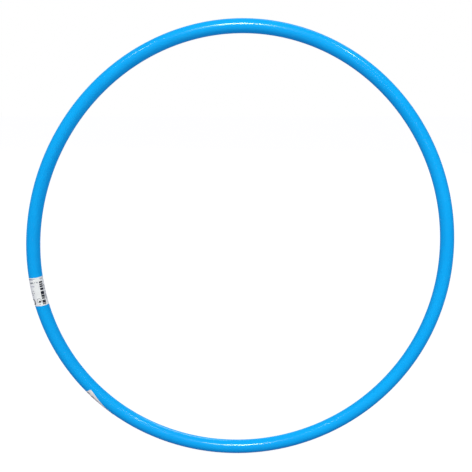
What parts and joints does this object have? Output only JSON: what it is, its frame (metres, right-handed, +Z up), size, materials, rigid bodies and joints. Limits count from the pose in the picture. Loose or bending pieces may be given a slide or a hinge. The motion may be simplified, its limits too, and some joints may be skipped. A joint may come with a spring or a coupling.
{
  "type": "plastic hoop",
  "caption": "Glossy blue plastic hoop of round tube, closed on a hidden inner plug with wire staples and dressed with white paper labels, for juggling and exercise.",
  "frame": {"origin": "centre of the hoop's own box, in the middle of the open circle and of the tube's thickness", "axes": "+Z up as the hoop hangs, +Y along the hoop's axis towards the rear, so -Y is the front and +X is the right side as seen from the front"},
  "size_m": [0.5896, 0.02, 0.6104],
  "materials": {
    "blue_plastic": "smooth glossy extruded tube with faint draw lines",
    "plug_plastic": "plain moulded, natural pale grey",
    "staple_steel": "galvanised flat wire",
    "label_paper": null
  },
  "bodies": {
    "root": {"hoop_tube": "blue_plastic", "joint_plug": "plug_plastic", "staple_upper_outer": "staple_steel", "staple_upper_inner": "staple_steel", "staple_lower_outer": "staple_steel", "staple_lower_inner": "staple_steel", "wrap_label": "label_paper", "corner_label": "label_paper"}
  },
  "joints": []
}
